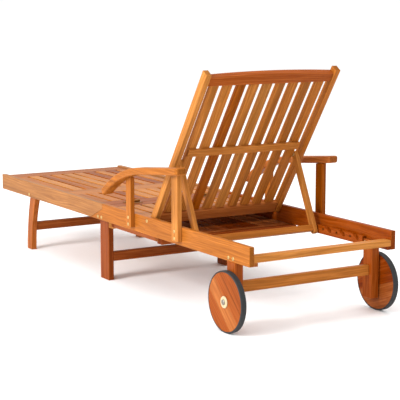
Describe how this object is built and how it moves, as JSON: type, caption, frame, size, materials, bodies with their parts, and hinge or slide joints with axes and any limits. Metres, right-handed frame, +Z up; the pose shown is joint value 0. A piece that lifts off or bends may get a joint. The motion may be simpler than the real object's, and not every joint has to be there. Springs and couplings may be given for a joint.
{
  "type": "reclining sun lounger",
  "caption": "Slatted wooden sun lounger with a propped reclining back, fold-over foot section, curved armrests, slide-out tray and a pair of wheels.",
  "frame": {"origin": "on the ground, at the middle of the overall length and width, with the backrest raised and the foot section flat", "axes": "+X along the lounger towards its wheeled head end, +Y across it to the right of a sitter who faces the foot end, +Z up. Names with left lie on the -Y side and names with right on the +Y side"},
  "size_m": [2, 0.683, 0.843],
  "materials": {
    "acacia": "oiled acacia, satin, strong grain",
    "acacia_dark": "oiled acacia from darker heartwood, satin",
    "plated_bolt": "zinc and yellow plated steel, satin",
    "axle_steel": "dull zinc plated",
    "hinge_brass": "brass plated, satin",
    "nylon": "matt black",
    "tyre": "matt black",
    "hub_cap": "cream, satin"
  },
  "bodies": {
    "frame": {"rail_left": "acacia", "rail_right": "acacia", "seat_front_rail": "acacia", "seat_rear_rail": "acacia", "seat_slats": "acacia", "mid_leg_left": "acacia", "mid_leg_right": "acacia", "mid_stretcher": "acacia_dark", "head_leg_left": "acacia", "head_leg_right": "acacia", "head_stretcher": "acacia", "head_cross_rail": "acacia", "head_cleats": "acacia", "rack_left": "acacia_dark", "rack_right": "acacia_dark", "front_posts": "acacia", "rear_posts": "acacia", "armrest_left": "acacia", "armrest_right": "acacia", "runner_front": "acacia", "runner_rear": "acacia_dark", "frame_bolts": "plated_bolt", "countersunk_screws": "plated_bolt", "spacers": "nylon", "back_pivot_bolts": "plated_bolt", "axle_bolts": "axle_steel", "hinge_frame_leaves": "hinge_brass", "hinge_pins": "hinge_brass"},
    "backrest": {"stile_left": "acacia", "stile_right": "acacia", "back_top_rail": "acacia_dark", "back_bottom_rail": "acacia_dark", "back_batten": "acacia_dark", "back_slats": "acacia_dark", "prop_bolts": "plated_bolt"},
    "prop": {"prop_arm_left": "acacia", "prop_arm_right": "acacia", "prop_bar": "acacia", "prop_pegs": "acacia_dark"},
    "foot_section": {"foot_rail_left": "acacia", "foot_rail_right": "acacia", "foot_end_rail": "acacia", "foot_mid_rail": "acacia", "foot_knee_rail": "acacia", "foot_slats": "acacia", "knee_slats": "acacia", "hinge_foot_leaves": "hinge_brass", "foot_leg_bolts": "plated_bolt"},
    "foot_legs": {"foot_leg_left": "acacia", "foot_leg_right": "acacia", "foot_stretcher": "acacia_dark"},
    "tray": {"tray_end_rails": "acacia_dark", "tray_slats": "acacia_dark"},
    "wheel_l": {"wheel_left": "acacia", "tyre_left": "tyre", "hub_cap_left": "hub_cap"},
    "wheel_r": {"wheel_right": "acacia", "tyre_right": "tyre", "hub_cap_right": "hub_cap"}
  },
  "joints": [
    {"name": "recline", "type": "hinge", "parent": "frame", "child": "backrest", "pos_m": [0.327, 0, 0.285], "axis": [0, 1, 0], "range_deg": [0, 56.4]},
    {"name": "prop_fold", "type": "hinge", "parent": "backrest", "child": "prop", "pos_m": [0.47531, 0, 0.50822], "axis": [0, -1, 0], "range_deg": [0, 116]},
    {"name": "foot_fold", "type": "hinge", "parent": "frame", "child": "foot_section", "pos_m": [-0.028, 0, 0.2992], "axis": [0, 1, 0], "range_deg": [0, 120]},
    {"name": "foot_leg_fold", "type": "hinge", "parent": "foot_section", "child": "foot_legs", "pos_m": [-0.71, 0, 0.246], "axis": [0, -1, 0], "range_deg": [0, 88]},
    {"name": "tray_slide", "type": "slide", "parent": "frame", "child": "tray", "axis": [0, -1, 0], "range_m": [0, 0.33]},
    {"name": "left_wheel_spin", "type": "hinge", "parent": "frame", "child": "wheel_l", "pos_m": [0.89, -0.3105, 0.103], "axis": [0, 1, 0], "continuous": true},
    {"name": "right_wheel_spin", "type": "hinge", "parent": "frame", "child": "wheel_r", "pos_m": [0.89, 0.3105, 0.103], "axis": [0, 1, 0], "continuous": true}
  ],
  "couplings": [
    {"joint": "prop_fold", "follows": "recline", "ratio": 2.0567}
  ]
}
